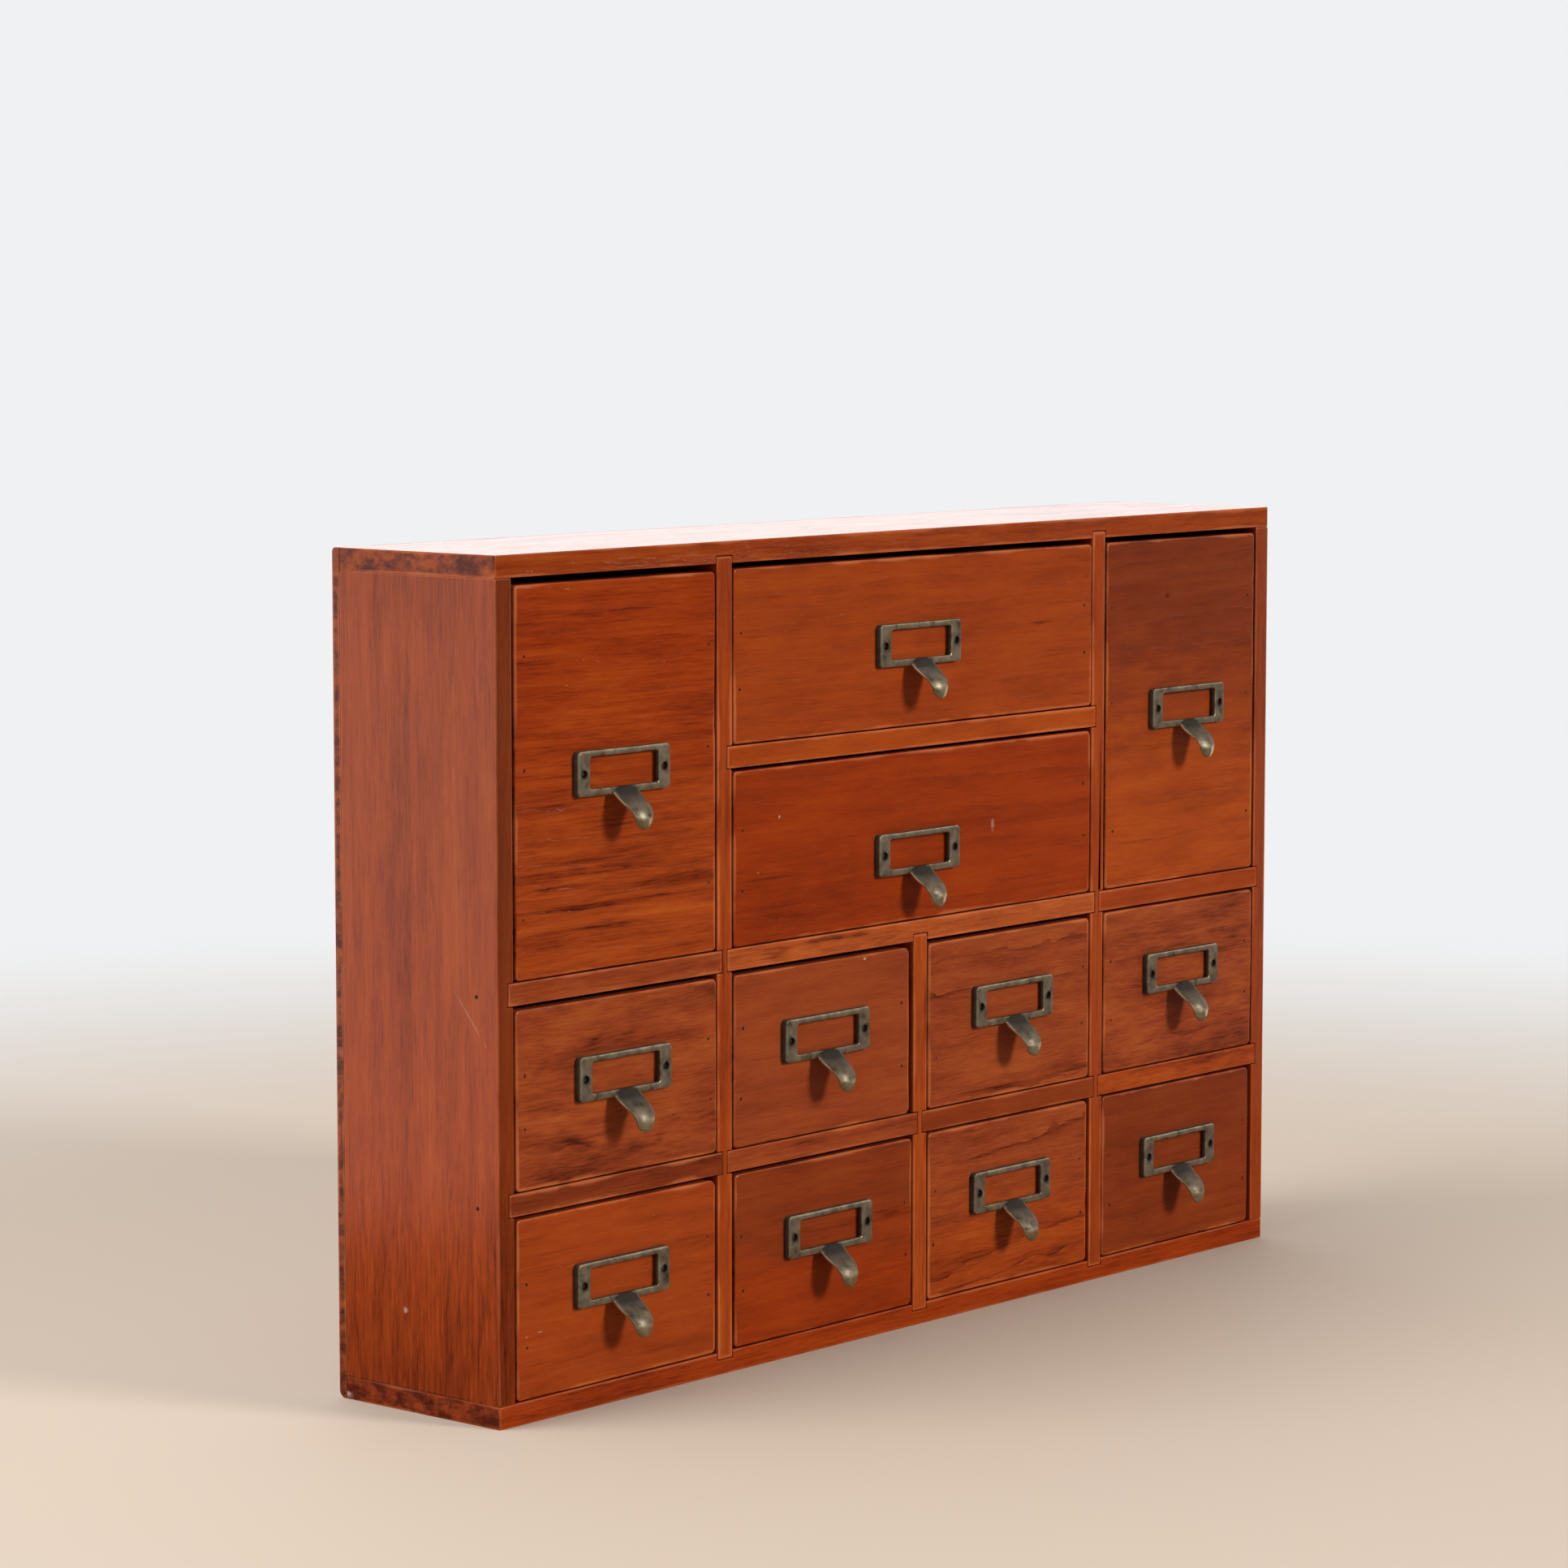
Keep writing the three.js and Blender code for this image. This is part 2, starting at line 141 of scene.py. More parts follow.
class Surface:
    """A material, with short ways to add the nodes that feed its shader."""

    def __init__(self, name):
        self.material = bpy.data.materials.new(name)
        self.material.use_nodes = True
        self.tree = self.material.node_tree
        self.shader = self.tree.nodes["Principled BSDF"]

    def node(self, kind, *inputs, output=0, **settings):
        """Adds a node, sets it up, feeds its inputs in order, and returns an output."""
        made = self.tree.nodes.new("ShaderNode" + kind)
        for key, value in settings.items():
            setattr(made, key, value)
        for socket, value in zip(made.inputs, inputs):
            self.feed(socket, value)
        return Term(self, made.outputs[output])

    def feed(self, socket, value):
        if isinstance(value, Term):
            self.tree.links.new(value.socket, socket)
        elif value is not None:
            socket.default_value = value

    def set(self, **values):
        """Feeds the shader's own sockets, with underscores for the spaces in their names."""
        for key, value in values.items():
            self.feed(self.shader.inputs[key.replace("_", " ")], value)

    def constant(self, value):
        made = self.tree.nodes.new("ShaderNodeValue")
        made.outputs[0].default_value = value
        return Term(self, made.outputs[0])

    def math(self, operation, a, b=None):
        return self.node("Math", a, b, operation=operation)

    def vector(self, operation, a, b=None):
        return self.node("VectorMath", a, b, operation=operation)

    def length(self, vector):
        return self.node("VectorMath", vector, output=1, operation="LENGTH")

    def place(self):
        """Where the point is in the row frame at rest, in millimetres."""
        made = self.tree.nodes.new("ShaderNodeTexCoord")
        return self.vector("DIVIDE", Term(self, made.outputs["Object"]), (MM, MM, MM))

    def facing(self):
        """The surface's direction in the object's own frame, as three terms."""
        made = self.tree.nodes.new("ShaderNodeTexCoord")
        return self.split(Term(self, made.outputs["Normal"]))

    def split(self, vector):
        made = self.tree.nodes.new("ShaderNodeSeparateXYZ")
        self.feed(made.inputs[0], vector)
        return [Term(self, output) for output in made.outputs]

    def join(self, x, y, z):
        return self.node("CombineXYZ", x, y, z)

    def noise(self, vector, size, detail=2.0, roughness=0.5):
        """Noise whose features are about size millimetres long each way, from 0 to 1."""
        scaled = self.vector("DIVIDE", vector, size)
        made = self.tree.nodes.new("ShaderNodeTexNoise")
        self.feed(made.inputs["Vector"], scaled)
        made.inputs["Scale"].default_value = 1.0
        made.inputs["Detail"].default_value = detail
        made.inputs["Roughness"].default_value = roughness
        return Term(self, made.outputs[0])

    def step(self, value, start, end, low=0.0, high=1.0):
        """Goes smoothly from low to high as value goes from start to end."""
        return self.node(
            "MapRange", value, start, end, low, high, interpolation_type="SMOOTHSTEP", clamp=True
        )

    def mix(self, factor, a, b, blend_type="MIX"):
        made = self.tree.nodes.new("ShaderNodeMix")
        made.data_type = "RGBA"
        made.blend_type = blend_type
        self.feed(made.inputs[0], factor)
        self.feed(made.inputs[6], a)
        self.feed(made.inputs[7], b)
        return Term(self, made.outputs[2])

    def ramp(self, value, *stops):
        """A colour ramp through (position, colour) stops."""
        made = self.tree.nodes.new("ShaderNodeValToRGB")
        elements = made.color_ramp.elements
        while len(elements) < len(stops):
            elements.new(0.5)
        for element, (position, colour) in zip(elements, stops):
            element.position = position
            element.color = colour
        self.feed(made.inputs[0], value)
        return Term(self, made.outputs[0])

    def bump(self, height, strength=1.0):
        """Raises the surface by height, in millimetres."""
        made = self.tree.nodes.new("ShaderNodeBump")
        made.inputs["Strength"].default_value = strength
        made.inputs["Distance"].default_value = MM
        self.feed(made.inputs["Height"], height)
        return Term(self, made.outputs[0])


# How the figure of the wood differs from board to board: the strength of its growth rings and how far
# they wander in millimetres, then of soft bands, thin dark lines, cloudy stain, short fine strokes and
# dark pores.
LOOKS = {
    "plain": dict(rings=0.10, wander=6, bands=0.22, lines=0.16, clouds=0.44, strokes=0.18, pores=0.08),
    "streaky": dict(rings=0.12, wander=6, bands=0.55, lines=0.34, clouds=0.55, strokes=0.32, pores=0.12),
    "mottled": dict(rings=0.16, wander=14, bands=0.28, lines=0.20, clouds=1.00, strokes=0.46, pores=0.16),
    "curly": dict(rings=0.34, wander=16, bands=0.24, lines=0.24, clouds=0.62, strokes=0.40, pores=0.12),
    "coarse": dict(rings=0.06, wander=6, bands=0.28, lines=0.24, clouds=0.34, strokes=0.30, pores=0.20),
    "bare": dict(rings=0.22, wander=4, bands=0.16, lines=0.10, clouds=0.14, strokes=0.20, pores=0.08),
}
RING_SPACING = 7.0
RING_CENTRE_DEPTH = 45.0

# What darkening and lightening do to a stain: half the multiplier, so that it stays under 1.
LIGHTEST = (0.72, 0.95, 0.80, 1)
UNCHANGED = (0.5, 0.5, 0.5, 1)
DARKER = (0.31, 0.29, 0.34, 1)
DARKEST = (0.12, 0.10, 0.13, 1)


def mark(kind, x, z, along, across, strength, tilt=0.0, y=None):
    """A dark, light, pale or knotty spot, centred at (x, z) on a face across Y, or (y, z) on one across X.

    along and across are its half sizes in X (or Y) and Z. tilt turns it in degrees.
    """
    return dict(kind=kind, x=x, y=y, z=z, along=along, across=across, strength=strength, tilt=tilt)


def spot(surface, place, ragged, spec):
    """How strongly one mark shows at a point, and how near the point is to its middle."""
    on_side = spec["y"] is not None
    centre = (0.0, spec["y"], spec["z"]) if on_side else (spec["x"], 0.0, spec["z"])
    offset = surface.vector("SUBTRACT", place, centre)
    if spec["tilt"]:
        made = surface.tree.nodes.new("ShaderNodeVectorRotate")
        made.rotation_type = "X_AXIS" if on_side else "Y_AXIS"
        made.inputs["Angle"].default_value = math.radians(spec["tilt"])
        surface.feed(made.inputs["Vector"], offset)
        offset = Term(surface, made.outputs[0])
    through = 1e6
    if on_side:
        size = (through, spec["along"], spec["across"])
    else:
        size = (spec["along"], through, spec["across"])
    away = surface.length(surface.vector("DIVIDE", offset, size)) + (ragged - 0.5) * 2.6
    return surface.step(away, 1.25, 0.1)


def edge_distance(surface, place, low, high):
    """How far a point on a board's surface is from the board's nearest edge, in millimetres."""
    to_low = surface.vector("SUBTRACT", place, tuple(low))
    to_high = surface.vector("SUBTRACT", tuple(high), place)
    x, y, z = surface.split(surface.vector("MINIMUM", to_low, to_high))
    least = surface.math("MINIMUM", x, y)
    most = surface.math("MAXIMUM", x, y)
    return surface.math("MAXIMUM", least, surface.math("MINIMUM", most, z))


def wood(name, box, grain, stain, low_stain=None, look="plain", seed=0, marks=(), worn=1.0, front=1.0,
         varnish=True):
    """Stained wood for one board. box is the board's corners in metres, and grain the axis it runs along.

    The stain turns to low_stain towards the bottom. front lightens or darkens the edge that faces -Y.
    """
    figure = LOOKS[look]
    low, high = (corner / MM for corner in box)
    middle = (low + high) / 2
    s = Surface(name)
    place = s.place()
    x, y, z = s.split(place)
    along, across, deep = {"X": (x, z, y), "Y": (y, z, x), "Z": (z, y, x)}[grain]
    middle_across = {"X": middle.z, "Y": middle.z, "Z": middle.y}[grain]
    middle_deep = {"X": middle.y, "Y": middle.x, "Z": middle.x}[grain]
    draw = random.Random(seed)
    shift = [draw.uniform(200, 900) for _ in range(3)]
    fibres = s.join(along + shift[0], across + shift[1], deep + shift[2])

    ragged = s.noise(fibres, (16, 1.3, 1.3), detail=4, roughness=0.62)
    dark_marks = light_marks = pale_marks = bulge = s.constant(0.0)
    for spec in marks:
        shown = spot(s, place, ragged, spec) * spec["strength"]
        if spec["kind"] == "pale":
            pale_marks = s.math("MAXIMUM", pale_marks, shown)
        elif spec["kind"] == "light":
            light_marks = s.math("MAXIMUM", light_marks, shown)
        else:
            dark_marks = s.math("MAXIMUM", dark_marks, shown)
        if spec["kind"] == "knot":
            wide = dict(spec, along=spec["along"] * 3, across=spec["across"] * 3)
            bulge = bulge + spot(s, place, s.constant(0.5), wide) * (z - spec["z"]) * 0.8

    wander = (s.noise(fibres, (85, 26, 26), detail=3) - 0.5) * (2.2 * figure["wander"])
    slope = draw.uniform(-0.07, 0.07)
    ring_across = across - (middle_across + draw.uniform(-25, 25)) + wander - bulge + along * slope
    ring_deep = deep - (middle_deep + RING_CENTRE_DEPTH)
    radius = s.length(s.join(ring_across, ring_deep, 0.0)) / RING_SPACING
    late = s.math("POWER", s.math("FRACT", radius + ragged * 0.3), 3.5)
    broken = s.noise(fibres, (60, 9, 9), detail=2)
    rings = (late - 0.22) * s.step(broken, 0.35, 0.65, 0.15, 1.3)

    waving = s.join(along + shift[0], across + shift[1] + wander * 0.25, deep + shift[2])
    bands = s.noise(waving, (90, 4.0, 4.0), detail=5, roughness=0.68) - 0.5
    thin = s.noise(waving, (34, 0.95, 0.95), detail=3, roughness=0.6)
    lines = s.step(thin, 0.54, 0.64) * s.step(broken, 0.30, 0.62)
    clouds = s.noise(fibres, (52, 13, 13), detail=5, roughness=0.62) - 0.5
    strokes = s.noise(waving, (9.5, 0.85, 0.85), detail=3, roughness=0.6) - 0.5
    pores = s.step(s.noise(fibres, (4.5, 0.36, 0.36), detail=1), 0.62, 0.72)
    shade = rings * figure["rings"] + bands * (2.0 * figure["bands"]) + clouds * (1.5 * figure["clouds"])
    shade = shade + lines * (0.6 * figure["lines"]) + strokes * (1.6 * figure["strokes"])
    shade = shade + pores * (0.5 * figure["pores"]) + dark_marks - light_marks + 0.5
    gain = s.ramp(shade, (0.0, LIGHTEST), (0.5, UNCHANGED), (0.78, DARKER), (1.0, DARKEST))

    tone = linear(stain)
    if low_stain:
        reach = (high.z - low.z) * 0.3
        height = s.step(z + clouds * 60, middle.z + reach, middle.z - reach)
        tone = s.mix(height, tone, linear(low_stain))
    doubled = s.vector("MULTIPLY", s.mix(1.0, tone, gain, "MULTIPLY"), (2.0, 2.0, 2.0))

    nx, ny, nz = s.facing()
    end = s.step(s.math("ABSOLUTE", {"X": nx, "Y": ny, "Z": nz}[grain]), 0.6, 0.9)
    end_figure = s.noise(fibres, (40, 6.0, 11.0), detail=5, roughness=0.65)
    end_colour = s.mix(s.step(end_figure, 0.38, 0.62), (0.28, 0.26, 0.30, 1), (0.88, 0.97, 1.0, 1))
    coloured = s.mix(end, doubled, s.mix(1.0, doubled, end_colour, "MULTIPLY"))
    if front != 1.0:
        is_front = s.step(ny, -0.6, -0.9)
        coloured = s.mix(is_front, coloured, s.vector("MULTIPLY", coloured, (front, front, front)))

    near = edge_distance(s, place, low, high)
    rubbed = s.noise(place, (34, 34, 34), detail=3, roughness=0.55)
    reach = s.step(rubbed, 0.35, 0.70, 0.8, 2.8 * worn)
    wear = s.step(near / reach, 1.0, 0.1) * s.step(rubbed, 0.30, 0.62, 0.30, 0.90)
    worn_colour = s.mix(0.35, linear(WORN_EDGE), s.vector("MULTIPLY", doubled, (1.3, 1.5, 1.3)))
    coloured = s.mix(wear * min(worn, 1.0), coloured, worn_colour)
    coloured = s.mix(pale_marks, coloured, (0.50, 0.40, 0.34, 1))

    uneven = s.noise(place, (17, 17, 17), detail=1)
    height = uneven * 0.05 + strokes * 0.03 - lines * 0.02 - pores * 0.01 - late * 0.01
    height = height - dark_marks * 0.04 - wear * 0.05
    s.set(
        Base_Color=coloured,
        Roughness=clouds * 0.10 + strokes * 0.12 + wear * 0.25 + end * 0.15 + (0.18 if varnish else 0.62),
        Specular_IOR_Level=0.35 if varnish else 0.25,
        Normal=s.bump(height),
    )
    return s.material


def aged_brass(name, seed):
    """Antique brass: a dull brown-grey patina, rubbed to metal where the mesh's rub attribute is high. The
    rub attribute also holds a painted highlight on the tongue's tip and side edges, and a second attribute
    paints shade near-black under the window's lower bar, in the pin holes and on the plate's sides.
    """
    s = Surface(name)
    place = s.place()
    moved = s.vector("ADD", place, (seed * 31.0, seed * 17.0, 0.0))
    # rub: rubbed metal, and on the tongue a painted highlight as well
    rub = s.node("Attribute", output=2, attribute_name="rub")
    # painted shade, per point: under the window's lower bar, in the pin holes and on the plate's sides
    painted_shade = s.node("Attribute", output=2, attribute_name="painted_shade")
    patches = s.noise(moved, (5.0, 5.0, 5.0), detail=4, roughness=0.6)
    fine = s.noise(moved, (0.7, 0.7, 0.7), detail=2)
    patina = s.ramp(
        patches,
        (0.30, (0.060, 0.044, 0.027, 1)),
        (0.44, (0.134, 0.103, 0.067, 1)),
        (0.58, (0.174, 0.138, 0.094, 1)),
        (0.75, (0.225, 0.176, 0.108, 1)),
    )
    # rubbed metal and the painted highlight: lighter, more metallic and smoother
    bright = s.step(rub + (patches - 0.5) * 0.8, 0.30, 0.95)
    colour = s.mix(bright, patina, (0.70, 0.60, 0.37, 1))
    # painted shade: the colour goes near-black where that mask is high
    colour = s.mix(painted_shade, colour, (0.018, 0.014, 0.011, 1))
    scratches = s.noise(moved, (6, 0.35, 0.35), detail=2)
    s.set(
        Base_Color=colour,
        Metallic=bright * 0.45 + s.step(painted_shade, 0.1, 0.8, 0.5, 0.0),
        Roughness=(patches - 0.5) * 0.20 + painted_shade * 0.15 - bright * 0.22 + 0.45,
        Specular_IOR_Level=0.25,
        Normal=s.bump(patches * 0.06 + fine * 0.015 + scratches * 0.010),
    )
    return s.material


def dark_iron():
    """Nail heads: old iron under brown varnish."""
    s = Surface("dark_iron")
    patches = s.noise(s.place(), (1.2, 1.2, 1.2), detail=3)
    s.set(
        Base_Color=s.ramp(patches, (0.3, (0.014, 0.009, 0.005, 1)), (0.7, (0.050, 0.030, 0.014, 1))),
        Metallic=0.0,
        Specular_IOR_Level=0.05,
        Roughness=patches * 0.2 + 0.6,
        Normal=s.bump(patches * 0.1),
    )
    return s.material


def floor_material():
    """A pale warm floor that fades out far from the cabinet, so that it has no edge."""
    s = Surface("pale_floor")
    place = s.place()
    faint = s.noise(place, (900, 900, 900), detail=2)
    tint = s.mix(faint, [c * 0.98 for c in FLOOR_COLOUR] + [1], [c * 1.02 for c in FLOOR_COLOUR] + [1])
    shown = s.step(s.length(place), *FLOOR_FADE, 1.0, 0.0)
    s.set(Base_Color=tint, Roughness=0.75, Specular_IOR_Level=0.2, Alpha=shown)
    return s.material


def table_material():
    """What the sides of the cabinet mirror low down: a dark warm table."""
    s = Surface("mirrored_table")
    s.set(Base_Color=(0.0, 0.0, 0.0, 1), Roughness=1.0, Specular_IOR_Level=0.0)
    s.set(Emission_Color=(0.10, 0.045, 0.02, 1), Emission_Strength=1.0)
    return s.material


# ---- Mesh building, in millimetres ----


def mesh_object(name, vertices, faces):
    """An object from points in millimetres, smooth shaded."""
    mesh = bpy.data.meshes.new(name)
    mesh.from_pydata([Vector(v) * MM for v in vertices], [], faces)
    mesh.validate()
    mesh.shade_smooth()
    piece = bpy.data.objects.new(name, mesh)
    bpy.context.scene.collection.objects.link(piece)
    return piece


def loft(rings, closed=False):
    """Points and faces of a skin over equal rings. A closed one joins its last ring to the first."""
    count = len(rings[0])
    points = [point for ring in rings for point in ring]
    faces = []
    for r in range(len(rings) if closed else len(rings) - 1):
        here = r * count
        there = (r + 1) % len(rings) * count
        for i in range(count):
            j = (i + 1) % count
            faces.append((here + i, there + i, there + j, here + j))
    if not closed:
        faces.append(tuple(range(count)))
        faces.append(tuple(reversed(range(len(points) - count, len(points)))))
    return points, faces


def merge_parts(parts):
    """Several (points, faces) as one."""
    points, faces = [], []
    for more_points, more_faces in parts:
        start = len(points)
        points += more_points
        faces += [tuple(start + i for i in face) for face in more_faces]
    return points, faces


def rectangle_outline(low, high, radii, spacing, arc_steps=6):
    """Points round a rectangle with rounded corners, each with its outward direction, anticlockwise.

    low and high are its corners, and radii those of its lower left, lower right, upper right and
    upper left corners. Straight stretches have a point every spacing or so.
    """
    (x0, z0), (x1, z1) = low, high
    corners = [(x0, z0, 180), (x1, z0, 270), (x1, z1, 0), (x0, z1, 90)]
    centres = []
    for (x, z, _), radius, (sx, sz) in zip(corners, radii, [(1, 1), (-1, 1), (-1, -1), (1, -1)]):
        centres.append((x + sx * radius, z + sz * radius))
    outline = []
    for k, ((cx, cz), radius) in enumerate(zip(centres, radii)):
        start = math.radians(corners[k][2])
        for step in range(arc_steps + 1):
            angle = start + math.pi / 2 * step / arc_steps
            out = (math.cos(angle), math.sin(angle))
            outline.append(((cx + radius * out[0], cz + radius * out[1]), out))
        (nx, nz), next_radius = centres[(k + 1) % 4], radii[(k + 1) % 4]
        out = outline[-1][1]
        end = (nx + next_radius * out[0], nz + next_radius * out[1])
        begin = outline[-1][0]
        pieces = max(1, round(math.dist(begin, end) / spacing))
        for step in range(1, pieces):
            share = step / pieces
            point = (begin[0] + (end[0] - begin[0]) * share, begin[1] + (end[1] - begin[1]) * share)
            outline.append((point, out))
    return outline


def inset_ring(outline, inset, y):
    """The outline moved inwards, at depth y. inset is one distance, or a list with one for each point."""
    insets = inset if isinstance(inset, list) else [inset] * len(outline)
    return [(px - ox * d, y, pz - oz * d) for ((px, pz), (ox, oz)), d in zip(outline, insets)]


def board_piece(name, low, high, rounding=0.5):
    """A plain board between two corners with evenly rounded edges, each corner a small ball."""
    size = [h - l for l, h in zip(low, high)]
    middle = [(l + h) / 2 for l, h in zip(low, high)]
    x, y, z = (s / 2 for s in size)
    r = min(rounding, min(size) / 3)
    outline = rectangle_outline((-x, -z), (x, z), [r] * 4, 40, arc_steps=3)
    front = []
    for step in range(4):
        angle = math.pi / 2 * step / 3
        front.append(inset_ring(outline, r * (1 - math.sin(angle)) * 0.9, -y + r * (1 - math.cos(angle))))
    rear = [[(px, -py, pz) for px, py, pz in ring] for ring in reversed(front)]
    points, faces = loft(front + rear)
    points = [tuple(m + p for m, p in zip(middle, point)) for point in points]
    board = mesh_object(name, points, faces)
    board.data.shade_flat()
    return board


def apply_modifiers(piece):
    """Replaces the piece's mesh with what its modifiers make of it."""
    graph = bpy.context.evaluated_depsgraph_get()
    made = bpy.data.meshes.new_from_object(piece.evaluated_get(graph))
    piece.modifiers.clear()
    piece.data = made
    return piece


def combine(piece, other, operation):
    """Joins other to piece, or cuts it away, and removes other."""
    boolean = piece.modifiers.new("combine", "BOOLEAN")
    boolean.operation = operation
    boolean.object = other
    boolean.solver = "EXACT"
    bpy.context.view_layer.update()
    apply_modifiers(piece)
    bpy.data.objects.remove(other)
    return piece


def smooth_edges(piece, width, angle=35.0):
    """Rounds the edges of a frame node without touching its own vertices."""
    stored = piece.data.attributes.get("custom_normal")
    if stored:
        piece.data.attributes.remove(stored)
    weld = piece.modifiers.new("weld", "WELD")
    weld.merge_threshold = 0.01 * MM
    bevel = piece.modifiers.new("rounding", "BEVEL")
    bevel.width = width * MM
    bevel.segments = 3
    bevel.limit_method = "ANGLE"
    bevel.angle_limit = math.radians(angle)
    bevel.harden_normals = True
    piece.data.shade_smooth()


def dress(piece, material):
    piece.data.materials.clear()
    piece.data.materials.append(material)


# ---- The case ----

# Each board: the axis its grain runs along, its stain, its figure, how bright its front edge is, its wear.
CASE_BOARDS = {
    "top_board": ("X", SIENNA, "streaky", 0.90, 0.8),
    "bottom_board": ("X", RUSSET, "streaky", 1.0, 0.6),
    "left_side": ("Z", CHESTNUT, "coarse", 0.64, 0.4),
    "right_side": ("Z", CHESTNUT, "coarse", 0.90, 0.6),
    "divider_left": ("Z", SIENNA, "streaky", 1.0, 1.0),
    "divider_middle": ("Z", AMBER, "streaky", 1.0, 0.8),
    "divider_right": ("Z", SIENNA, "plain", 1.0, 0.9),
    "shelf_left_upper": ("X", CHESTNUT, "streaky", 1.0, 1.0),
    "shelf_left_lower": ("X", UMBER, "streaky", 1.0, 1.0),
    "shelf_wide_upper": ("X", AMBER, "plain", 1.0, 0.8),
    "shelf_wide_lower": ("X", HONEY, "streaky", 1.0, 0.9),
    "shelf_inner_left": ("X", CHESTNUT, "streaky", 1.0, 0.8),
    "shelf_inner_right": ("X", MAHOGANY, "plain", 1.0, 0.8),
    "shelf_right_upper": ("X", SIENNA, "plain", 1.0, 0.7),
    "shelf_right_lower": ("X", SIENNA, "mottled", 1.0, 0.6),
}

CASE_MARKS = {
    "left_side": [
        mark("dark", 0, 190, 13, 170, 0.10, y=8), mark("dark", 0, 200, 5, 130, 0.20, y=4),
        mark("dark", 0, 5, 120, 78, 0.27, y=0), mark("dark", 0, 352, 90, 34, 0.10, y=10),
        mark("dark", 0, 9.9, 120, 0.5, 0.50, y=0),
        mark("dark", 0, 180, 2.5, 90, 0.12, y=-14), mark("light", 0, 250, 6, 80, 0.08, y=-22),
        mark("knot", 0, 15, 5, 7, 0.35, y=7),
        mark("dark", 0, 38, 2, 16, 0.25, y=-8, tilt=-12),
        mark("dark", 0, 26, 9, 16, 0.12, y=0),
        mark("pale", 0, 170, 0.5, 15, 0.16, y=-31, tilt=40),
        mark("pale", 0, 43, 1.3, 1.3, 0.55, y=7),
        mark("pale", 0, 2.5, 3.5, 1.4, 0.8, y=44),
    ],
    "bottom_board": [mark("pale", 0, 2.2, 3.5, 1.3, 0.8, y=43)],
    "top_board": [mark("light", 15, 355, 110, 30, 0.07)],
    "shelf_wide_lower": [
        mark("dark", -95, 179, 10, 4, 0.30),
        mark("dark", -60, 182.5, 24, 1.4, 0.30),
    ],
}


def make_case():
    for seed, (name, (grain, stain, look, front, worn)) in enumerate(CASE_BOARDS.items(), start=1):
        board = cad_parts[name]
        smooth_edges(board, BOARD_ROUNDING)
        marks = CASE_MARKS.get(name, ())
        low_stain = SIENNA if name.endswith("_side") else None
        dress(board, wood(name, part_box(name), grain, stain, low_stain, look, seed, marks, worn, front))
    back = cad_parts["back_panel"]
    smooth_edges(back, BACK_ROUNDING)
    dress(back, wood("back_panel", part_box("back_panel"), "X", CHESTNUT, look="streaky", seed=40, worn=0.6))


def nail_head(x, y, z, radius, proud, out, sides=10):
    """A low round nail head at a point. out is the axis that it faces along, X or Y, and the way, -1 or 1."""
    axis, sign = out
    rings = []
    for share, height in ((1.0, -0.4), (1.0, proud * 0.4), (0.75, proud * 0.85), (0.3, proud)):
        ring = []
        for k in range(sides):
            angle = 2 * math.pi * k / sides
            across = radius * share * math.cos(angle)
            up = radius * share * math.sin(angle)
            if axis == "Y":
                ring.append((x + across, y + sign * height, z + up))
            else:
                ring.append((x + sign * height, y + across, z + up))
        rings.append(ring)
    return loft(rings)


def make_case_nails(iron):
    """Nails through the outer sides into the ends of the shelves, and round the edge of the back panel."""
    draw = random.Random(7)
    for side, sign in (("left", -1), ("right", 1)):
        low, high = (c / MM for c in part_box(side + "_side"))
        face = low.x if sign < 0 else high.x
        heads = []
        for shelf in ("upper", "lower"):
            shelf_low, shelf_high = (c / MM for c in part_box(f"shelf_{side}_{shelf}"))
            z = (shelf_low.z + shelf_high.z) / 2 + draw.uniform(-1.5, 0.5)
            heads.append(nail_head(face, low.y + 12, z, 0.9, 0.08, ("X", sign)))
        nails = mesh_object(f"{side}_side_nails", *merge_parts(heads))
        dress(nails, iron)
        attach(nails, "case")
    low, high = (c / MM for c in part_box("back_panel"))
    heads = []
    for z in (low.z + 5, high.z - 5):
        for k in range(9):
            x = low.x + 12 + (high.x - low.x - 24) * k / 8
            heads.append(nail_head(x + draw.uniform(-2, 2), high.y, z, 1.1, 0.12, ("Y", 1)))
    for x in (low.x + 5, high.x - 5):
        for k in range(1, 6):
            z = low.z + 5 + (high.z - low.z - 10) * k / 6
            heads.append(nail_head(x, high.y, z + draw.uniform(-2, 2), 1.1, 0.12, ("Y", 1)))
    brads = mesh_object("back_panel_brads", *merge_parts(heads))
    dress(brads, iron)
    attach(brads, "case")


# ---- The drawers ----

